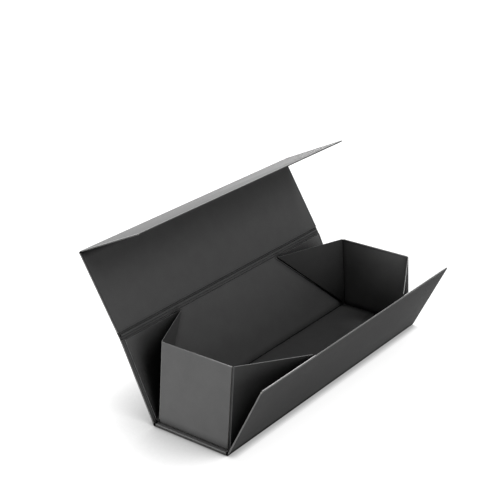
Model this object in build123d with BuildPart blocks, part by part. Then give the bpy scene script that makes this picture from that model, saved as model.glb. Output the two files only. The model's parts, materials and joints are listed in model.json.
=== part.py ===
from build123d import *
from math import cos, radians, sin, sqrt
import os

# A fold-flat gift box for one wine bottle: greyboard panels in one black paper, lying open.
# The origin is the centre of the base's underside. X runs along the box, the front wall is at -Y, Z is up.

# Case panels
case_length = 340.0
board = 1.2
wrap_paper = 0.2
lining_paper = 0.2
panel = wrap_paper + board + lining_paper
crease_relief = 0.4        # a sheet of paper stops this far from the line that it folds on
base_groove = 2.5          # a board stops this far from the crease between base and wall
wall_height = 89.3

# Tray floor and end walls
tray_board = 1.6
end_width = 85.2
end_height = 84.0
end_inset = 4.6            # the end walls stand this far inside the ends of the case
end_lift = 0.5             # the crease of an end wall above the tray floor
end_side_groove = 1.2      # an end wall's board stops this far from its upright crease

# Gussets
gusset_card = 0.5
cover_paper = 0.2
gusset = gusset_card + cover_paper
gusset_gap = 0.5           # between a gusset flap and its anchor when the box is shut
gusset_groove = 2.0        # a gusset's card stops this far from its upright crease
diagonal_relief = 0.8      # a gusset's card stops this far from the diagonal crease

# Lid and closing flap
lid_clearance = 0.7        # between the shut lid and the top of the walls
lid_strip = 4.0            # width of the paper between the two creases of the lid's hinge
lid_groove = 1.7           # the lid's board stops this far from its crease
flap_clearance = 1.2       # between the shut flap and the front wall
flap_strip = 3.0           # width of the paper between the two creases of the flap's hinge
flap_groove = 1.5          # the boards stop this far from those two creases
flap_length = 84.5

# Magnets in the flap, and the steel plates in the front wall that they pull on
magnet_length = 20.0
magnet_width = 10.0
magnet_thickness = 1.0
magnet_edge = 15.0         # centre of a magnet to the free edge of the flap
magnet_spacing = 220.0
plate_length = 26.0
plate_width = 14.0
plate_thickness = 0.6
pocket_clearance = 0.1

# The open pose
wall_lean = 26.0           # both long walls lean outwards
end_lean = 5.2             # both end walls lean inwards
gusset_lead = 1.04         # a gusset flap swings by this times the lean of its long wall
gusset_swing = gusset_lead * wall_lean
lid_tilt = 5.5             # the lid leans back by this much past the line of the back wall
shut_bevel = 45.0          # slope of the flap's hinge strip when the box is shut
flap_spring = 20.0         # the flap stands this far off the front wall until it is pressed home
flap_strip_fold = shut_bevel + wall_lean
flap_fold = shut_bevel - flap_spring

half_length = case_length / 2
crease_y = end_width / 2 + gusset_gap + gusset + panel
base_half = crease_y - base_groove
tray_top = panel + tray_board + cover_paper
end_crease_z = tray_top + end_lift
end_x = half_length - end_inset
lid_crease = wall_height + lid_clearance + panel
lid_end = crease_y + crease_y + panel + flap_clearance - flap_strip * cos(radians(shut_bevel))
plate_height = lid_crease - flap_strip * sin(radians(shut_bevel)) - flap_length + magnet_edge

os.makedirs("parts", exist_ok=True)


def save(part, name):
    part.label = name
    export_step(part, f"parts/{name}.step")


def leaning_plane(y, z, lean, side=1):
    """Outer face of a panel from its crease at y, z: local Y runs up the panel, local Z into the box."""
    a = radians(lean)
    return Plane(origin=(0, y, z), x_dir=(side, 0, 0), z_dir=(0, -side * cos(a), sin(a)))


def along(plane, distance):
    """The point of a panel's outer face that lies this far from its crease."""
    return plane.from_local_coords(Vector(0, distance, 0))


def sheet(name, plane, half_span, low, high, depth, thickness):
    """A flat sheet across a panel, from low to high up it, starting at a depth under the outer face."""
    with BuildPart() as flat:
        with BuildSketch(plane.offset(depth)):
            with Locations((0, (low + high) / 2)):
                Rectangle(2 * half_span, high - low)
        extrude(amount=thickness)
    save(flat.part, name)


def wrap(name, plane, low, high, board_low, board_high, closed_edge=False):
    """Outer paper of a case panel, turned over the board's two ends and over its free edge."""
    with BuildPart() as paper:
        with BuildSketch(plane):
            with Locations((0, (low + high) / 2)):
                Rectangle(case_length, high - low)
        extrude(amount=wrap_paper)
        with BuildSketch(plane.offset(wrap_paper)):
            with Locations((0, (board_low + board_high) / 2)):
                with GridLocations(case_length - wrap_paper, 0, 2, 1):
                    Rectangle(wrap_paper, board_high - board_low)
            if closed_edge:
                with Locations((0, board_high + wrap_paper / 2)):
                    Rectangle(case_length, wrap_paper)
        extrude(amount=board + lining_paper)
    save(paper.part, name)


def case_panel(name, plane, low, high, board_low, board_high, closed_edge=False):
    """Wrap, board and lining of one panel. A free edge is the board's edge with the paper turned over it."""
    span = half_length - wrap_paper
    wrap(f"{name}_wrap", plane, low, high, board_low, board_high, closed_edge)
    sheet(f"{name}_board", plane, span, board_low, board_high, wrap_paper, board)
    sheet(f"{name}_lining", plane, span, board_low, board_high, wrap_paper + board, lining_paper)


def hinge_strip(name, plane, width):
    """The two papers between the creases of a two-crease hinge."""
    for layer, depth, thickness in (("wrap", 0, wrap_paper), ("lining", wrap_paper, lining_paper)):
        sheet(f"{name}_{layer}", plane, half_length, crease_relief, width - crease_relief, depth, thickness)


# Base: the case panel that the box stands on. Its creases are its two long edges.
base_plane = Plane.XY
with BuildPart() as base_wrap:
    with BuildSketch(base_plane):
        Rectangle(case_length, 2 * (crease_y - crease_relief))
    extrude(amount=wrap_paper)
    with BuildSketch(base_plane.offset(wrap_paper)):
        with GridLocations(case_length - wrap_paper, 0, 2, 1):
            Rectangle(wrap_paper, 2 * base_half)
    extrude(amount=board + lining_paper)
save(base_wrap.part, "base_wrap")
inside_ends = half_length - wrap_paper
sheet("base_board", base_plane, inside_ends, -base_half, base_half, wrap_paper, board)
sheet("base_lining", base_plane, inside_ends, -base_half, base_half, wrap_paper + board, lining_paper)

# Tray floor: a second board glued on the base, whose paper also carries the end walls.
tray_span = half_length - cover_paper
sheet("tray_floor_board", base_plane, tray_span, -base_half, base_half, panel, tray_board)
with BuildPart() as tray_floor_cover:
    with BuildSketch(base_plane.offset(panel + tray_board)):
        Rectangle(case_length, 2 * base_half)
    extrude(amount=cover_paper)
    with BuildSketch(base_plane.offset(panel)):
        with GridLocations(case_length - cover_paper, 0, 2, 1):
            Rectangle(cover_paper, 2 * base_half)
    extrude(amount=tray_board)
save(tray_floor_cover.part, "tray_floor_cover")

# Long walls. The front wall holds two steel plates under its outer paper.
front_plane = leaning_plane(-crease_y, 0, wall_lean, side=-1)
back_plane = leaning_plane(crease_y, 0, wall_lean)
wall_top = wall_height - wrap_paper

plate_places = [(x, plate_height) for x in (-magnet_spacing / 2, magnet_spacing / 2)]
with BuildPart() as front_wall_plates:
    with BuildSketch(front_plane.offset(wrap_paper)):
        with Locations(*plate_places):
            Rectangle(plate_length, plate_width)
    extrude(amount=plate_thickness)
save(front_wall_plates.part, "front_wall_plates")

wrap("front_wall_wrap", front_plane, crease_relief, wall_height, base_groove, wall_top, closed_edge=True)
with BuildPart() as front_wall_board:
    with BuildSketch(front_plane.offset(wrap_paper)):
        with Locations((0, (base_groove + wall_top) / 2)):
            Rectangle(2 * inside_ends, wall_top - base_groove)
    extrude(amount=board)
    with BuildSketch(front_plane.offset(wrap_paper)):
        with Locations(*plate_places):
            Rectangle(plate_length + 2 * pocket_clearance, plate_width + 2 * pocket_clearance)
    extrude(amount=plate_thickness, mode=Mode.SUBTRACT)
save(front_wall_board.part, "front_wall_board")
sheet("front_wall_lining", front_plane, inside_ends, base_groove, wall_top, wrap_paper + board, lining_paper)

case_panel("back_wall", back_plane, crease_relief, lid_crease - crease_relief, base_groove, wall_height)

# Lid: it hangs on the back wall by a strip of paper with a crease at each side.
lid_lean = wall_lean + lid_tilt
lid_root = along(back_plane, lid_crease)
lid_plane = leaning_plane(lid_root.Y, lid_root.Z, lid_lean)
hinge_strip("lid_hinge", lid_plane, lid_strip)
lid_low = lid_strip + crease_relief
lid_high = lid_end - crease_relief
case_panel("lid", lid_plane, lid_low, lid_high, lid_strip + lid_groove, lid_end - flap_groove)

# Closing flap: its own two-crease strip, and two magnets under its lining.
strip_root = along(lid_plane, lid_end)
strip_plane = leaning_plane(strip_root.Y, strip_root.Z, lid_lean - flap_strip_fold)
hinge_strip("flap_hinge", strip_plane, flap_strip)
flap_root = along(strip_plane, flap_strip)
flap_plane = leaning_plane(flap_root.Y, flap_root.Z, lid_lean - flap_strip_fold - flap_fold)
flap_top = flap_length - wrap_paper
magnet_depth = wrap_paper + board - magnet_thickness
magnet_places = [(x, flap_length - magnet_edge) for x in (-magnet_spacing / 2, magnet_spacing / 2)]
with BuildPart() as flap_magnets:
    with BuildSketch(flap_plane.offset(magnet_depth)):
        with Locations(*magnet_places):
            Rectangle(magnet_length, magnet_width)
    extrude(amount=magnet_thickness)
save(flap_magnets.part, "flap_magnets")

wrap("flap_wrap", flap_plane, crease_relief, flap_length, flap_groove, flap_top, closed_edge=True)
with BuildPart() as flap_board:
    with BuildSketch(flap_plane.offset(wrap_paper)):
        with Locations((0, (flap_groove + flap_top) / 2)):
            Rectangle(2 * inside_ends, flap_top - flap_groove)
    extrude(amount=board)
    with BuildSketch(flap_plane.offset(magnet_depth)):
        with Locations(*magnet_places):
            Rectangle(magnet_length + 2 * pocket_clearance, magnet_width + 2 * pocket_clearance)
    extrude(amount=magnet_thickness, mode=Mode.SUBTRACT)
save(flap_board.part, "flap_board")
sheet("flap_lining", flap_plane, inside_ends, flap_groove, flap_top, wrap_paper + board, lining_paper)


def end_axes(end):
    """Up and inward directions of an end wall, which leans inwards: end is -1 at the left, 1 at the right."""
    a = radians(end_lean)
    return Vector(-end * sin(a), 0, cos(a)), Vector(-end * cos(a), 0, -sin(a))


def make_end_wall(name, end):
    """Board, outer cover turned over the top edge, and lining of one end wall."""
    inward = end_axes(end)[1]
    plane = Plane(origin=(end * end_x, 0, end_crease_z), x_dir=(0, -end, 0), z_dir=inward)
    cover_half = end_width / 2 - crease_relief
    board_half = end_width / 2 - end_side_groove
    board_top = end_height - cover_paper
    with BuildPart() as cover:
        with BuildSketch(plane):
            with Locations((0, end_height / 2)):
                Rectangle(2 * cover_half, end_height)
        extrude(amount=cover_paper)
        with BuildSketch(plane.offset(cover_paper)):
            with Locations((0, board_top + cover_paper / 2)):
                Rectangle(2 * board_half, cover_paper)
        extrude(amount=board + lining_paper)
    save(cover.part, f"{name}_cover")
    sheet(f"{name}_board", plane, board_half, 0, board_top, cover_paper, board)
    sheet(f"{name}_lining", plane, board_half, 0, board_top, cover_paper + board, lining_paper)


def triangle(hinge_inset, diagonal_inset):
    """Half of a gusset's square, from its upright crease at x = 0 to the top edge and the diagonal."""
    rise = diagonal_inset * sqrt(2)
    return [(hinge_inset, hinge_inset + rise), (hinge_inset, end_height), (end_height - rise, end_height)]


def make_gusset(name, end, side):
    """A gusset flap on its end wall's upright crease: a card triangle with paper on its outer face."""
    up, inward = end_axes(end)
    a = radians(gusset_swing)
    outward = Vector(0, side, 0)
    run = inward * cos(a) + outward * sin(a)
    plane = Plane(origin=(end * end_x, side * end_width / 2, end_crease_z), x_dir=run, z_dir=run.cross(up))
    turn = -end * side
    for layer, depth, thickness, hinge_inset, diagonal_inset in (
        ("cover", 0, cover_paper, crease_relief, diagonal_relief / 2),
        ("card", cover_paper, gusset_card, gusset_groove, diagonal_relief),
    ):
        with BuildPart() as flap:
            with BuildSketch(plane.offset(turn * depth)):
                with BuildLine():
                    Polyline(*triangle(hinge_inset, diagonal_inset), close=True)
                make_face()
            extrude(amount=turn * thickness)
        save(flap.part, f"{name}_{layer}")


def make_anchor(name, end, side):
    """The other half of a gusset, glued on the inner face of its long wall."""
    plane = front_plane if side < 0 else back_plane
    for layer, depth, thickness, diagonal_inset in (
        ("card", panel, gusset_card, diagonal_relief),
        ("cover", panel + gusset_card, cover_paper, diagonal_relief / 2),
    ):
        corners = [(side * end * (end_x - x), end_crease_z + y) for x, y in triangle(0, diagonal_inset)]
        with BuildPart() as anchor:
            with BuildSketch(plane.offset(depth)):
                with BuildLine():
                    Polyline(*corners, close=True)
                make_face()
            extrude(amount=thickness)
        save(anchor.part, f"{name}_{layer}")


# End walls, and at each of the four corners a gusset flap and its anchor.
for end_name, end in (("left", -1), ("right", 1)):
    make_end_wall(f"{end_name}_end_wall", end)
    for side_name, side in (("front", -1), ("back", 1)):
        make_gusset(f"{end_name}_{side_name}_gusset", end, side)
        make_anchor(f"{end_name}_{side_name}_anchor", end, side)
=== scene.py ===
import json
from math import cos, radians, sin
import bmesh
import bpy
from mathutils import Matrix, Vector


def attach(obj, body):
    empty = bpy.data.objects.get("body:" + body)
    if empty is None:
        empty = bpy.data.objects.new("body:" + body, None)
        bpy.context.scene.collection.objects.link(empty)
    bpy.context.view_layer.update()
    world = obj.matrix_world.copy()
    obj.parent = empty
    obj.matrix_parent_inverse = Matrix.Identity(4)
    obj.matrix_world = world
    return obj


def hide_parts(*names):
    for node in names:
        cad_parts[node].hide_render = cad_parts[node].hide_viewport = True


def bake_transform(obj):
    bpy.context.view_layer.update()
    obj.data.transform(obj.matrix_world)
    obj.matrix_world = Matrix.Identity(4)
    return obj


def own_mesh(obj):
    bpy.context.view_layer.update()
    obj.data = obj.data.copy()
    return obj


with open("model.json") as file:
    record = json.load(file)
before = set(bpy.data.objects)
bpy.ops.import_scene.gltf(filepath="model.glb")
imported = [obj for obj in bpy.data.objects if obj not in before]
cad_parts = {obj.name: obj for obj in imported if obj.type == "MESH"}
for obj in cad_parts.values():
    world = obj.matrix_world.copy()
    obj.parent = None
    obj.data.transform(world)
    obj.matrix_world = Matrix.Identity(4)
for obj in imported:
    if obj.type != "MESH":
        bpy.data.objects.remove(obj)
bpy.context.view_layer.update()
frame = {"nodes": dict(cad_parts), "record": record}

# Base of the case. A greyboard panel covered with charcoal dyed paper, which is turned over the two
# short ends and glued down. The long edges run on into the walls as paper creases.
case_half = 0.340 / 2        # from the middle to a short end
crease_y = 0.0454            # the crease between the base and a long wall
base_groove = 0.0025         # the board stops this far from that crease
base_half = crease_y - base_groove
paper_lap = 0.00005          # a cover reaches this far past the edge of its board
turned_paper = 0.00148       # depth of the turned-in paper, just over the board's inner face
base_round = 0.0004          # rounding of the paper where it is turned over the base's edges
cloud_size = 0.0182          # slow changes of tone in a sheet, from the way the pulp settled
fibre_width = 0.000625       # clumps of fibres, four times as coarse as the real ones so that they show
felt_relief = 0.00006        # height of the felt


def linear(colour):
    """The linear RGBA value of an sRGB hex colour."""
    parts = [int(colour[i:i + 2], 16) / 255 for i in (1, 3, 5)]
    return [p / 12.92 if p <= 0.04045 else ((p + 0.055) / 1.055) ** 2.4 for p in parts] + [1.0]


def add_node(tree, kind, inputs, **settings):
    """Adds a node: settings go to the node, inputs are values or sockets of other nodes."""
    node = tree.nodes.new(kind)
    for name, value in settings.items():
        setattr(node, name, value)
    for name, value in inputs.items():
        if isinstance(value, bpy.types.NodeSocket):
            tree.links.new(value, node.inputs[name])
        else:
            node.inputs[name].default_value = value
    return node


def bare_tree(owner):
    """The empty node tree of a new material or world."""
    owner.use_nodes = True
    owner.node_tree.nodes.clear()
    return owner.node_tree


def dyed_paper(name, dark, light, roughness, sheen, crease_shade=0.05, closed=0.48, reach=0.008):
    """Uncoated paper dyed in the pulp: a matt felt face with short fibres and a slight cloudiness.
    In creases and corners the tone is darkened as painted shade: where the open share of the air within
    reach falls to closed, the tone falls to the given share of itself."""
    material = bpy.data.materials.new(name)
    tree = bare_tree(material)
    place = add_node(tree, "ShaderNodeTexCoord", {}).outputs["Object"]
    cloud = add_node(tree, "ShaderNodeTexNoise", {
        "Vector": place, "Scale": 1 / cloud_size, "Detail": 3.0, "Roughness": 0.6})
    fibre = add_node(tree, "ShaderNodeTexNoise", {
        "Vector": place, "Scale": 1 / fibre_width, "Detail": 2.0, "Roughness": 0.7})
    mix = add_node(tree, "ShaderNodeMath", {
        0: cloud.outputs["Fac"], 1: fibre.outputs["Fac"]}, operation="ADD")
    spread = add_node(tree, "ShaderNodeMapRange", {
        "Value": mix.outputs[0], "From Min": 0.65, "From Max": 1.35})
    tone = add_node(tree, "ShaderNodeMix", {
        "Factor": spread.outputs["Result"], "A": linear(dark), "B": linear(light)}, data_type="RGBA")
    # Painted shade: the tone darkens where nearby surfaces shut in the air.
    open_air = add_node(tree, "ShaderNodeAmbientOcclusion", {"Distance": reach}, samples=4)
    depth = add_node(tree, "ShaderNodeMapRange", {
        "Value": open_air.outputs["AO"], "From Min": closed, "From Max": 0.9,
        "To Min": crease_shade, "To Max": 1.0})
    shaded = add_node(tree, "ShaderNodeVectorMath", {
        0: tone.outputs["Result"], "Scale": depth.outputs["Result"]}, operation="SCALE")
    matt = add_node(tree, "ShaderNodeMapRange", {
        "Value": cloud.outputs["Fac"], "From Min": 0.3, "From Max": 0.7,
        "To Min": roughness - 0.04, "To Max": roughness + 0.04})
    felt = add_node(tree, "ShaderNodeBump", {
        "Height": fibre.outputs["Fac"], "Strength": 0.25, "Distance": felt_relief})
    shader = add_node(tree, "ShaderNodeBsdfPrincipled", {
        "Base Color": shaded.outputs["Vector"], "Roughness": matt.outputs["Result"],
        "Normal": felt.outputs["Normal"], "IOR": 1.5, "Specular IOR Level": 0.06,
        "Sheen Weight": sheen, "Sheen Roughness": 0.2})
    add_node(tree, "ShaderNodeOutputMaterial", {"Surface": shader.outputs["BSDF"]})
    return material


def finish(piece, *materials):
    """Gives a piece its materials and smooth faces, with the real folds and edges kept crisp."""
    for material in materials:
        piece.data.materials.append(material)
    piece.data.shade_smooth()
    piece.data.set_sharp_from_angle(angle=radians(40))


def make_piece(name, bm, placing=Matrix.Identity(4)):
    """Makes an object of a mesh built about its own corner, with its place put into the mesh."""
    bmesh.ops.transform(bm, matrix=placing, verts=bm.verts)
    bmesh.ops.recalc_face_normals(bm, faces=bm.faces)
    mesh = bpy.data.meshes.new(name)
    bm.to_mesh(mesh)
    bm.free()
    piece = bpy.data.objects.new(name, mesh)
    bpy.context.scene.collection.objects.link(piece)
    return piece


def is_level(edge):
    """Whether an edge lies in the plane of its panel."""
    return abs(edge.verts[0].co.z - edge.verts[1].co.z) < 1e-6


def round_slab(half_length, low, high, near, far, edge, corner=0.0, wear_and_highlight=None):
    """A slab across a panel, from low to high up it and from near to far through it, with rounded
    edges. The corners of its free edge are rounded first, as the paper turned over two edges rounds
    them. The faces at the given place take the second material, a paler paper for wear and a painted
    highlight."""
    middle = (low + high) / 2
    bm = bmesh.new()
    bmesh.ops.create_cube(bm, size=1.0)
    bmesh.ops.scale(bm, vec=(2 * half_length, high - low, far - near), verts=bm.verts)
    bmesh.ops.translate(bm, vec=(0, middle, (near + far) / 2), verts=bm.verts)
    if corner:
        posts = [e for e in bm.edges if not is_level(e) and e.verts[0].co.y > middle]
        bmesh.ops.bevel(bm, geom=posts, offset=corner, affect="EDGES", segments=4, profile=0.5,
                        material=-1)
    sides = [e for e in bm.edges if is_level(e)]
    bmesh.ops.bevel(bm, geom=sides, offset=edge, affect="EDGES", segments=3, profile=0.5, material=-1)
    square = 0.99            # a face is square to an axis where its normal has this much of it
    for face in bm.faces:
        rim = abs(face.normal.z) < square
        rounding = max(abs(part) for part in face.normal) < square
        places = {"rim": rim, "rounding": rounding,
                  "inner rounding": rounding and face.normal.z > 0,
                  "outer rounding": rounding and face.normal.z < 0,
                  "top rim": rim and face.calc_center_median().y > high - 2 * edge}
        face.material_index = 1 if wear_and_highlight and places[wear_and_highlight] else 0
    return bm


outer_paper = dyed_paper("charcoal dyed cover paper", "#5b5b5b", "#636363", 0.8, 0.15)
base_paper = make_piece("base_paper", round_slab(
    case_half, -base_half - paper_lap, base_half + paper_lap, 0, turned_paper, base_round))
finish(base_paper, outer_paper)
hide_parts("base_wrap")
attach(base_paper, "base")

# Tray floor. A second greyboard glued on the base. Its paper matches the lining and runs on into the
# two end walls, and its near and far ends show as the upper of two thin lines.
panel = 0.0016               # a board with the paper on both faces
tray_top = 0.0034
cover_round = 0.0005         # rounding of the paper where it is turned over the edge of a board
# The inner paper is a shade lighter and more matt. The turned edges take a paler paper, partly for
# wear from handling and partly as a painted highlight, which reads as a pale line.
lining_paper = dyed_paper("charcoal dyed lining paper", "#656565", "#6d6d6d", 0.85, 0.15)
rubbed_and_highlit_paper = dyed_paper("charcoal cover paper on a worn edge, with painted highlight", "#747474", "#828282", 0.7, 0.3,
                          crease_shade=0.8)
floor_paper = make_piece("tray_floor_paper", round_slab(
    case_half, -base_half - paper_lap, base_half + paper_lap, panel, tray_top, cover_round,
    wear_and_highlight="inner rounding"))
finish(floor_paper, lining_paper, rubbed_and_highlit_paper)
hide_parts("tray_floor_cover")
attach(floor_paper, "base")

# Long walls. Greyboard in the outer paper, turned in over the ends and the free edge, with the lining
# paper glued over the turn-in and 2.5 mm short of it. The front wall hides the two steel plates.
wall_height = 0.0893
wall_lean = radians(26)
margin = 0.0025              # the lining stops this far from a free edge
board_face = 0.0014          # the board's inner face, as a depth under the cover's outer face
corner_round = 0.0012        # the corners of a free edge, under two layers of turned paper
lining_round = 0.00015       # the cut edge of the lining


def panel_place(y, z, lean, side=1):
    """Stands a panel on its crease at y, z: its x runs along the box, its y up it, its z inwards."""
    return Matrix(((side, 0, 0, 0),
                   (0, side * sin(lean), -side * cos(lean), y),
                   (0, cos(lean), sin(lean), z),
                   (0, 0, 0, 1)))


front_place = panel_place(-crease_y, 0, wall_lean, side=-1)
back_place = panel_place(crease_y, 0, wall_lean)
# The lining of the back wall runs up to its top, where the lid's hinge takes it on.
for name, placing, corner, top_margin in (("front_wall", front_place, corner_round, margin),
                                          ("back_wall", back_place, 0.0, 0.0)):
    cover = make_piece(name + "_paper", round_slab(
        case_half, base_groove - paper_lap, wall_height, 0, turned_paper, cover_round, corner,
        wear_and_highlight="rounding"), placing)
    finish(cover, outer_paper, rubbed_and_highlit_paper)
    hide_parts(name + "_wrap")
    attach(cover, name)
    lining = make_piece(name + "_inside", round_slab(
        case_half - margin, base_groove, wall_height - top_margin, board_face, panel, lining_round,
        wear_and_highlight="rim"), placing)
    finish(lining, lining_paper, rubbed_and_highlit_paper)
    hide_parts(name + "_lining")
    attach(lining, name)

# Lid. It is made like the walls, and its outside is bare paper. The board ends 1.7 mm from the crease
# of its own hinge and 1.5 mm from the crease of the flap's hinge.
lid_crease = 0.0915          # the first crease of the lid's hinge, up the back wall
lid_lean = radians(31.5)
lid_strip = 0.004            # from that crease to the second one
lid_end = 0.09148            # the crease of the flap's hinge, up the lid
lid_low = lid_strip + 0.0017
lid_high = lid_end - 0.0015


def panel_point(placing, up, depth):
    """The point of a panel at a height up it and a depth under its outer face, as its y and z."""
    point = placing @ Vector((0, up, depth))
    return point.y, point.z


lid_place = panel_place(*panel_point(back_place, lid_crease, 0), lid_lean)
lid_paper = make_piece("lid_paper", round_slab(
    case_half, lid_low, lid_high, 0, turned_paper, cover_round, wear_and_highlight="rim"), lid_place)
finish(lid_paper, outer_paper, rubbed_and_highlit_paper)
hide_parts("lid_wrap")
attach(lid_paper, "lid")
lid_inside = make_piece("lid_inside", round_slab(
    case_half - margin, lid_low, lid_high, board_face, panel, lining_round, wear_and_highlight="rim"), lid_place)
finish(lid_inside, lining_paper, rubbed_and_highlit_paper)
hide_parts("lid_lining")
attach(lid_inside, "lid")

# Closing flap. The last panel of the case, with two magnets let into its board under the lining.
# A hand takes hold of it at every opening, so its paper is worn round the outer edges, and the palest
# tone there is also a painted highlight.
flap_strip = 0.003           # between the two creases of the flap's hinge
flap_length = 0.0845
flap_groove = 0.0015         # the board stops this far from the second crease
flap_round = 0.00035         # a tighter turn of the paper than at the walls
strip_lean = lid_lean - radians(71)
flap_lean = strip_lean - radians(25)
worn_highlit_edge = dyed_paper("charcoal cover paper worn on the free edge", "#949494", "#a2a2a2", 0.7, 0.3,
                       crease_shade=0.8)
strip_place = panel_place(*panel_point(lid_place, lid_end, 0), strip_lean)
flap_place = panel_place(*panel_point(strip_place, flap_strip, 0), flap_lean)
flap_paper = make_piece("flap_paper", round_slab(
    case_half, flap_groove, flap_length, 0, turned_paper, flap_round, corner_round,
    wear_and_highlight="outer rounding"), flap_place)
finish(flap_paper, outer_paper, worn_highlit_edge)
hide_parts("flap_wrap")
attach(flap_paper, "flap")
flap_inside = make_piece("flap_inside", round_slab(
    case_half - margin, flap_groove, flap_length - margin, board_face, panel, lining_round),
    flap_place)
finish(flap_inside, lining_paper)
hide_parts("flap_lining")
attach(flap_inside, "flap")

# Hinge papers of the case. Between two boards the outer paper and the lining run on alone, pressed
# down into the groove, and bend along the crease. Their ends lie hidden in the papers of the panels.
strip_paper = 0.0002         # thickness
strip_bend = 0.0003          # rounding of a bend
case_lap = 0.001             # a distance from the crease
case_bend = 0.0006           # the paper nearer to the crease than this bends with it
sunk_cover = 0.00025         # depth of the outer strip over a board
leaving_cover = 0.0003       # its depth where it leaves the board
crease_cover = 0.00035       # and along the crease
sunk_lining = 0.0015         # the same three depths of the inner strip
leaving_lining = 0.0014
crease_lining = 0.0008


def verts_in(geom):
    """The vertices among the results of an extrusion."""
    return [g for g in geom if isinstance(g, bmesh.types.BMVert)]


def drawn_strip(line, run, thickness, bend, segments=3):
    """A strip of paper: a line of points drawn out along run, rounded at its bends and made thick."""
    bm = bmesh.new()
    verts = [bm.verts.new(point) for point in line]
    edges = [bm.edges.new(pair) for pair in zip(verts, verts[1:])]
    pulled = bmesh.ops.extrude_edge_only(bm, edges=edges)["geom"]
    bmesh.ops.translate(bm, vec=run, verts=verts_in(pulled))
    folds = [e for e in bm.edges if len(e.link_faces) == 2]
    bmesh.ops.bevel(bm, geom=folds, offset=bend, affect="EDGES", segments=segments, profile=0.5,
                    material=-1, clamp_overlap=True)
    bmesh.ops.recalc_face_normals(bm, faces=bm.faces)
    bmesh.ops.solidify(bm, geom=bm.faces, thickness=thickness)
    return bm


def hinge_paper(name, material, node, half_length, line):
    """A hinge's paper along the box.
    Its line is a row of points, each a panel's placing, a height up it and a depth under its face."""
    points = [(-half_length, *panel_point(*point)) for point in line]
    piece = make_piece(name, drawn_strip(points, (2 * half_length, 0, 0), strip_paper, strip_bend))
    finish(piece, material)
    if node:
        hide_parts(node)
    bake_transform(piece)


base_front = panel_place(0, 0, radians(90), side=-1)     # the base as a panel from its middle line
base_back = panel_place(0, 0, radians(90))
for name, base_side, wall in (("front", base_front, front_place), ("back", base_back, back_place)):
    end = (wall, case_bend)
    cover_line = ((base_side, base_half - case_lap, sunk_cover),
                  (base_side, base_half + 0.0003, leaving_cover),
                  (base_side, crease_y - 0.0002, crease_cover),
                  (wall, 0.0004, crease_cover),
                  (wall, base_groove - 0.0003, leaving_cover),
                  (wall, base_groove + case_lap, sunk_cover))
    lining_line = ((base_side, base_half - case_lap, sunk_lining - 0.00005),
                   (base_side, base_half + 0.0002, leaving_lining),
                   (base_side, crease_y - 0.0015, crease_lining),
                   (wall, 0.0016, crease_lining),
                   (wall, base_groove - 0.0001, leaving_lining + 0.00005),
                   (wall, base_groove + case_lap, sunk_lining))
    hinge_paper(name + "_crease_paper", outer_paper, None,
                case_half, cover_line)
    hinge_paper(name + "_crease_inside", lining_paper, None,
                case_half - margin, lining_line)

# Lid hinge. The lid hangs by a strip with two creases. The lining is pressed down on both sides of
# the strip, which leaves a low ridge along its middle between two grooves.
strip_lap = 0.0012           # how far the papers of this hinge and the next run on over the boards
crease_bend = 0.0004         # a distance from a crease
ridge = 0.00145              # depth of the lining on top of the ridge
ridge_side = 0.0013
groove_floor = 0.00062       # its depth in the grooves
pressed_cover = 0.0004       # depth of the outer paper behind the grooves
# In the grooves the lining is darkened further where the air is shut in, a painted shade that reads as
# a dark line.
groove_shaded_paper = dyed_paper("charcoal dyed lining paper with painted groove shade", "#656565", "#6d6d6d",
                          0.85, 0.15, closed=0.72)
end = (lid_place, crease_bend)
cover_line = ((back_place, wall_height - strip_lap, sunk_cover),
              (back_place, wall_height + 0.0002, leaving_cover),
              (back_place, lid_crease - 0.0006, pressed_cover),
              (lid_place, 0.0006, pressed_cover),
              (lid_place, lid_strip / 2, leaving_cover))
lining_line = ((back_place, wall_height - strip_lap, sunk_lining),
               (back_place, wall_height - 0.0001, sunk_lining),
               (back_place, wall_height + 0.0006, 0.0007),
               (back_place, lid_crease - 0.0003, groove_floor),
               (lid_place, 0.0005, groove_floor),
               (lid_place, 0.0011, ridge_side),
               (lid_place, lid_strip / 2, ridge))
hinge_paper("lid_hinge_lower_paper", outer_paper, "lid_hinge_wrap",
            case_half, cover_line)
hinge_paper("lid_hinge_lower_inside", groove_shaded_paper, "lid_hinge_lining",
            case_half - margin, lining_line)
end = (lid_place, lid_strip + crease_bend)
cover_line = ((lid_place, lid_strip / 2, leaving_cover),
              (lid_place, lid_strip - 0.0004, pressed_cover),
              (lid_place, lid_low - 0.0003, leaving_cover),
              (lid_place, lid_low + strip_lap, sunk_cover))
lining_line = ((lid_place, lid_strip / 2, ridge),
               (lid_place, lid_strip - 0.0011, ridge_side),
               (lid_place, lid_strip - 0.0006, groove_floor),
               (lid_place, lid_low - 0.0005, 0.0006),
               (lid_place, lid_low - 0.0001, sunk_lining),
               (lid_place, lid_low + strip_lap, sunk_lining))
hinge_paper("lid_hinge_upper_paper", outer_paper, None,
            case_half, cover_line)
hinge_paper("lid_hinge_upper_inside", groove_shaded_paper, None,
            case_half - margin, lining_line)

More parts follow.
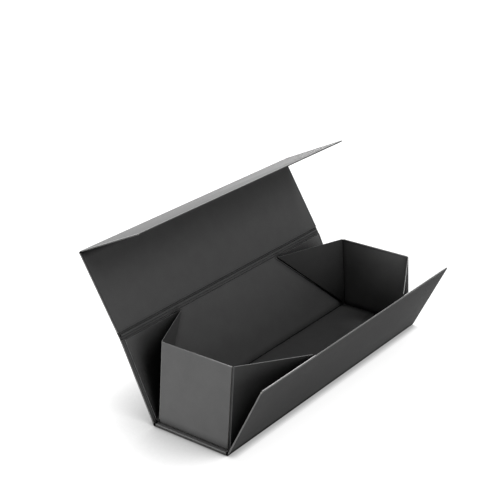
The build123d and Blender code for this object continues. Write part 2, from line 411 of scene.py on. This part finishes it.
# Flap hinge. The flap hangs on the lid in the same way, by a strip 3 mm wide that makes the bevelled
# edge of the shut box. Its lining stays flat on the outer paper.
strip_cover = 0.0002         # depth of the outer paper along the strip
strip_lining = 0.0007        # depth of the lining there
end = (strip_place, crease_bend)
cover_line = ((lid_place, lid_high - strip_lap, sunk_cover),
              (lid_place, lid_high + 0.0002, leaving_cover),
              (lid_place, lid_end - 0.0003, leaving_cover),
              (strip_place, 0.0004, leaving_cover),
              (strip_place, flap_strip / 2, strip_cover))
lining_line = ((lid_place, lid_high - strip_lap, sunk_lining),
               (lid_place, lid_high + 0.0001, leaving_lining),
               (lid_place, lid_end - 0.0007, crease_lining),
               (strip_place, 0.0008, strip_lining),
               (strip_place, flap_strip / 2, strip_lining))
hinge_paper("flap_hinge_lower_paper", outer_paper, "flap_hinge_wrap",
            case_half, cover_line)
hinge_paper("flap_hinge_lower_inside", lining_paper, "flap_hinge_lining",
            case_half - margin, lining_line)
end = (flap_place, crease_bend)
cover_line = ((strip_place, flap_strip / 2, strip_cover),
              (strip_place, flap_strip - 0.0003, leaving_cover),
              (flap_place, 0.0005, leaving_cover),
              (flap_place, flap_groove - 0.0002, leaving_cover),
              (flap_place, flap_groove + strip_lap, sunk_cover))
lining_line = ((strip_place, flap_strip / 2, strip_lining),
               (strip_place, flap_strip - 0.0003, strip_lining),
               (flap_place, 0.0006, crease_lining),
               (flap_place, flap_groove, leaving_lining),
               (flap_place, flap_groove + strip_lap, sunk_lining))
hinge_paper("flap_hinge_upper_paper", outer_paper, None,
            case_half, cover_line)
hinge_paper("flap_hinge_upper_inside", lining_paper, None,
            case_half - margin, lining_line)

# End walls. Each is a board with the tray's paper over its outer face and its top edge, and a lining
# inside. It stands 4.6 mm inside the end of the case and leans inwards. At its foot the paper runs
# on to the tray floor as a crease.
end_x = 0.1654
end_crease_z = 0.0039
end_height = 0.084
end_half = 0.0426            # from the middle to the upright crease of a gusset
end_board_half = end_half - 0.0012
end_lean = radians(5.2)
end_corner = 0.0008
foot_paper = 0.0001          # thickness
foot_bend = 0.0002


def end_place(end):
    """Stands an end wall on its crease: x to its left seen from outside, y up it and z inwards."""
    return Matrix(((0, -end * sin(end_lean), -end * cos(end_lean), end * end_x),
                   (-end, 0, 0, 0),
                   (0, cos(end_lean), -sin(end_lean), end_crease_z),
                   (0, 0, 0, 1)))


for end_name, end in (("left", -1), ("right", 1)):
    body = end_name + "_end"
    cover = make_piece(end_name + "_end_paper", round_slab(
        end_board_half + paper_lap, 0, end_height, 0, turned_paper, cover_round, end_corner,
        wear_and_highlight="top rim"), end_place(end))
    finish(cover, outer_paper, rubbed_and_highlit_paper)
    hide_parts(end_name + "_end_wall_cover")
    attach(cover, body)
    lining = make_piece(end_name + "_end_inside", round_slab(
        end_board_half, 0, end_height - margin, board_face, panel, lining_round), end_place(end))
    finish(lining, lining_paper)
    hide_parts(end_name + "_end_wall_lining")
    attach(lining, body)
    foot_line = [(end * (end_x + 0.0003), -end_board_half, tray_top + 0.00002),
                 (end * (end_x - 0.0006), -end_board_half, tray_top + 0.00008),
                 (end * (end_x - 0.0009), -end_board_half, end_crease_z + 0.0001),
                 (end * (end_x - 0.0008), -end_board_half, end_crease_z + 0.0015)]
    crease = make_piece(end_name + "_end_crease_paper", drawn_strip(
        foot_line, (0, 2 * end_board_half, 0), foot_paper, foot_bend, segments=2))
    finish(crease, outer_paper)
    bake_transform(crease)

# Gussets. At each corner a thin black card in dyed paper folds along a diagonal: one half swings on
# the end wall's upright crease, and the other half, the anchor, is glued to the long wall. A paper
# fold joins the two along the diagonal, and a creased strip joins the first to the end wall.
gusset = 0.0007              # a card with the paper on both faces
gusset_swing = radians(1.04 * 26)
card_cover_lap = 0.00006     # the paper stands this far over the card
card_round = 0.0002
gusset_foot = 0.0016         # the swinging half starts this far from its crease
gusset_rise = 0.0006         # and this far above the diagonal
anchor_rise = 0.0005         # the glued half starts this far above the foot of its crease
tip_cut = 0.0005             # the far tips of both triangles stop this far short
fold_tip = 0.0012            # the fold stops this far short of the end of the diagonal
fold_rise = 0.0009           # and runs this far above it
fold_depth = panel + gusset + 0.0001
# The cards are painted darker than the case's paper, and darker still deep in their corners, as
# painted shade between the leaning walls. The glued half is painted paler as painted light, with the
# same painted shade in its corners, and its cut edges carry a pale painted highlight.
card_cover = dyed_paper("charcoal dyed paper on thin card, painted darker as shade", "#4e4e4e", "#555555", 0.8, 0.15,
                        closed=0.3, reach=0.04)
anchor_cover = dyed_paper("charcoal dyed paper on glued card, painted paler as light", "#727272", "#7a7a7a", 0.8, 0.15,
                          closed=0.45, reach=0.04)
cut_edge_highlight = dyed_paper("cut edge of card with painted highlight", "#d4d4d4", "#dedede", 0.8, 0.1,
                      crease_shade=0.3, closed=0.35)


def card_triangle(corners, near, far):
    """A covered card of three corners, from near to far through it, whose rim takes the second
    material."""
    bm = bmesh.new()
    face = bm.faces.new([bm.verts.new((x, y, near)) for x, y in corners])
    pulled = bmesh.ops.extrude_face_region(bm, geom=[face])["geom"]
    bmesh.ops.translate(bm, vec=(0, 0, far - near), verts=verts_in(pulled))
    bmesh.ops.recalc_face_normals(bm, faces=bm.faces)
    bmesh.ops.bevel(bm, geom=bm.edges, offset=card_round, affect="EDGES", segments=2, profile=0.5,
                    material=-1)
    for face in bm.faces:
        face.material_index = 0 if abs(face.normal.z) > 0.9 else 1
    return bm


for end_name, end in (("left", -1), ("right", 1)):
    for side_name, side in (("front", -1), ("back", 1)):
        name = end_name + "_" + side_name
        up = Vector((-end * sin(end_lean), 0, cos(end_lean)))
        inward = Vector((-end * cos(end_lean), 0, -sin(end_lean)))
        outward = Vector((0, side, 0))
        run = inward * cos(gusset_swing) + outward * sin(gusset_swing)
        through = outward * -cos(gusset_swing) + inward * sin(gusset_swing)
        hinge = Vector((end * end_x, side * end_half, end_crease_z))
        placing = Matrix.Translation(hinge) @ Matrix((run, up, through)).transposed().to_4x4()
        card = make_piece(name + "_gusset_paper", card_triangle(
            [(gusset_foot, gusset_foot + gusset_rise), (gusset_foot, end_height + paper_lap),
             (end_height - tip_cut, end_height + paper_lap)], 0, gusset + card_cover_lap), placing)
        # The rims of the back pair look the more worn in the photograph, and their paler paper is also
        # a painted highlight.
        finish(card, card_cover, rubbed_and_highlit_paper if side < 0 else worn_highlit_edge)
        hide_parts(name + "_gusset_cover")
        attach(card, name + "_gusset")
        wall = front_place if side < 0 else back_place
        across = side * end      # the way that the wall's own x runs towards this end
        corners = [(across * (end_x - x), end_crease_z + y) for x, y in
                   ((-paper_lap, anchor_rise), (-paper_lap, end_height + paper_lap),
                    (end_height - tip_cut, end_height + paper_lap))]
        anchor = make_piece(name + "_anchor_paper", card_triangle(
            corners, panel, panel + gusset + card_cover_lap), wall)
        finish(anchor, anchor_cover, cut_edge_highlight)
        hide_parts(name + "_anchor_cover")
        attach(anchor, side_name + "_wall")
        # The fold runs down the anchor's long edge, round the foot of the crease and up the gusset's.
        # It is a sheet of no thickness, closed by a second face, so that both sides have a front.
        fold_line = [wall @ Vector((across * (end_x - t), end_crease_z + t + fold_rise, fold_depth))
                     for t in (end_height - fold_tip, 0.0)]
        fold_line += [wall @ Vector((across * end_x, 0.0021, 0.0012)),
                      Vector((end * end_x, side * 0.0439, 0.0010)),
                      Vector((end * end_x, side * 0.0432, 0.0016))]
        fold_line += [placing @ Vector((t + 0.0001, t + fold_rise, -0.00012))
                      for t in (0.0008, end_height - fold_tip)]
        bm = bmesh.new()
        bm.faces.new([bm.verts.new(p) for p in fold_line])
        bmesh.ops.solidify(bm, geom=bm.faces, thickness=0)
        fold = make_piece(name + "_fold_paper", bm)
        finish(fold, card_cover)
        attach(fold, side_name + "_wall")
        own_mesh(fold)
        # The upright crease starts flat on the end wall and turns on to the gusset.
        flat_part = [outward * -0.0022 + inward * 0.0009, outward * -0.0010 + inward * 0.0010]
        bent_part = [run * 0.0007 + through * 0.0007, run * 0.0015 + through * 0.0004,
                     run * 0.003 + through * 0.0004]
        crease_line = [hinge + up * 0.0001 + p for p in flat_part + bent_part]
        crease = make_piece(name + "_gusset_crease_paper", drawn_strip(
            crease_line, up * (end_height - 0.0004), strip_paper, strip_bend))
        finish(crease, card_cover)
        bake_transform(crease)

# Inner boards, cards, magnets and plates. The paper shuts them in, so that they show on no face. The
# magnets are nickel plated, and the plates are cut from rolled steel sheet.
grain_width = 0.000167       # the fine lines of rolling and plating
# Grey pulp of waste paper, and card dyed black right through with a harder, smoother face.
greyboard = dyed_paper("grey bookbinding board", "#8c8a85", "#a3a19b", 0.8, 0.0)
black_card = dyed_paper("black dyed card", "#2c2c2d", "#343435", 0.65, 0.1)


def plain_metal(name, colour, roughness, grain):
    """Bright metal with a fine directional grain from rolling or plating."""
    material = bpy.data.materials.new(name)
    tree = bare_tree(material)
    place = add_node(tree, "ShaderNodeTexCoord", {}).outputs["Object"]
    stretched = add_node(tree, "ShaderNodeMapping", {"Vector": place, "Scale": (0.05, 1.0, 1.0)})
    lines = add_node(tree, "ShaderNodeTexNoise", {
        "Vector": stretched.outputs["Vector"], "Scale": 1 / grain_width, "Detail": 2.0})
    rough = add_node(tree, "ShaderNodeMapRange", {
        "Value": lines.outputs["Fac"], "To Min": roughness - grain, "To Max": roughness + grain})
    shader = add_node(tree, "ShaderNodeBsdfPrincipled", {
        "Base Color": linear(colour), "Metallic": 1.0, "Roughness": rough.outputs["Result"]})
    add_node(tree, "ShaderNodeOutputMaterial", {"Surface": shader.outputs["BSDF"]})
    return material


nickel = plain_metal("nickel plating", "#c9c6bf", 0.25, 0.05)
rolled_steel = plain_metal("cold rolled steel sheet", "#a9aaac", 0.38, 0.1)
inner_finishes = {"greyboard": greyboard, "black_card": black_card,
                  "magnet": nickel, "steel_plate": rolled_steel,
                  "outer_paper": outer_paper, "inner_paper": lining_paper}
for part in frame["record"]["subparts"]:
    node = frame["nodes"][part["node"]]
    node.data.materials.clear()
    node.data.materials.append(inner_finishes[part["material_slot"]])

# Studio table. White paper, which the camera and reflections see white and soft light sees grey, so
# that little light comes back up under the leaning walls. The lamps' shadow falls on its grey matt
# part, and near the case its glow is dimmed by occlusion as a painted shadow.
bpy.context.scene.view_settings.view_transform = "Standard"
table_size = 12              # out to the horizon of every view
wide_painted_shadow = 0.09            # how far the painted soft shadow reaches from the case over the paper
contact_painted_shadow = 0.009        # and how far the painted dark line along its foot does


def seen_straight(tree):
    """One where the camera, a reflection or glass looks at the surface, and nought for soft light."""
    ray = add_node(tree, "ShaderNodeLightPath", {})
    direct = add_node(tree, "ShaderNodeMath", {
        0: ray.outputs["Is Camera Ray"], 1: ray.outputs["Is Glossy Ray"]}, operation="MAXIMUM")
    direct = add_node(tree, "ShaderNodeMath", {
        0: direct.outputs[0], 1: ray.outputs["Is Transmission Ray"]}, operation="MAXIMUM")
    return direct.outputs[0]


bpy.ops.mesh.primitive_plane_add(size=table_size)
table = bpy.context.object
table.name = "white_table"
white = bpy.data.materials.new("white studio paper")
tree = bare_tree(white)
direct = seen_straight(tree)
# The painted soft shadow looks for the case in this one direction, so it lies on the side away
# from that.
facing = add_node(tree, "ShaderNodeCombineXYZ", {"X": 0.62, "Y": -0.75, "Z": 0.2})
wide = add_node(tree, "ShaderNodeAmbientOcclusion", {
    "Distance": wide_painted_shadow, "Normal": facing.outputs["Vector"]}, samples=16)
shade = add_node(tree, "ShaderNodeMapRange", {
    "Value": wide.outputs["AO"], "From Min": 0.4, "From Max": 0.92, "To Min": 0.2, "To Max": 1.0})
# A second painted shadow: a dark line along the foot of the case.
close = add_node(tree, "ShaderNodeAmbientOcclusion", {"Distance": contact_painted_shadow}, samples=16)
contact = add_node(tree, "ShaderNodeMapRange", {
    "Value": close.outputs["AO"], "From Min": 0.4, "From Max": 0.95, "To Min": 0.45, "To Max": 1.0})
level = add_node(tree, "ShaderNodeMath", {
    0: shade.outputs["Result"], 1: contact.outputs["Result"]}, operation="MULTIPLY")
glow = add_node(tree, "ShaderNodeEmission", {"Strength": level.outputs[0]})
matt_white = add_node(tree, "ShaderNodeBsdfDiffuse", {"Color": linear("#707070")})
both = add_node(tree, "ShaderNodeAddShader", {
    0: matt_white.outputs["BSDF"], 1: glow.outputs["Emission"]})
grey = add_node(tree, "ShaderNodeBsdfDiffuse", {"Color": linear("#9a9a9a")})
seen = add_node(tree, "ShaderNodeMixShader", {
    "Fac": direct, 1: grey.outputs["BSDF"], 2: both.outputs["Shader"]})
add_node(tree, "ShaderNodeOutputMaterial", {"Surface": seen.outputs["Shader"]})
table.data.materials.append(white)

# Studio light. The air is white to look at and gives a faint even light, and four soft boxes light
# the case from the far left, from behind and above, and weakly from the front.
room_light = 0.04            # the air's light on the case, where 1 is white
case_middle = (0, 0, 0.06)
world = bpy.data.worlds.new("studio")
bpy.context.scene.world = world
tree = bare_tree(world)
level = add_node(tree, "ShaderNodeMapRange", {
    "Value": seen_straight(tree), "To Min": room_light, "To Max": 1.0})
sky = add_node(tree, "ShaderNodeBackground", {
    "Color": linear("#ffffff"), "Strength": level.outputs["Result"]})
add_node(tree, "ShaderNodeOutputWorld", {"Surface": sky.outputs["Background"]})


def soft_box(name, place, width, height, power):
    """A soft studio lamp that faces the middle of the case."""
    light = bpy.data.lights.new(name, "AREA")
    light.shape = "RECTANGLE"
    light.size = width
    light.size_y = height
    light.energy = power
    lamp = bpy.data.objects.new(name, light)
    lamp.location = place
    lamp.rotation_euler = (Vector(case_middle) - Vector(place)).to_track_quat("-Z", "Y").to_euler()
    bpy.context.scene.collection.objects.link(lamp)


soft_box("side_soft_box", (-2.13, 1.09, 0.30), 1.2, 0.5, 44)
soft_box("back_soft_box", (0.35, 1.29, 2.05), 1.2, 1.2, 114)
soft_box("front_soft_box", (-0.32, -2.34, 0.56), 1.2, 1.0, 10)
soft_box("top_soft_box", (-0.2, -1.50, 1.90), 1.0, 1.0, 11)

# Camera. Its place, its turn and its focal length were solved from 26 corners of the box in the
# photograph.
picture_width = 480
focal_length = 1237.14       # in pixels of the photograph
sensor = 36.0
camera_place = (-0.940885, -0.652314, 0.62477)
bearing = 37.465             # degrees round from the x axis
fall = 22.561                # degrees below the horizon
tilt = -0.449                # degrees about its own axis
camera = bpy.data.cameras.new("camera")
camera.sensor_width = sensor
camera.lens = sensor * focal_length / picture_width
eye = bpy.data.objects.new("camera", camera)
turn = Matrix.Rotation(radians(bearing - 90), 4, "Z") @ Matrix.Rotation(radians(90 - fall), 4, "X")
eye.matrix_world = Matrix.Translation(camera_place) @ turn @ Matrix.Rotation(radians(tilt), 4, "Z")
bpy.context.scene.collection.objects.link(eye)
bpy.context.scene.camera = eye
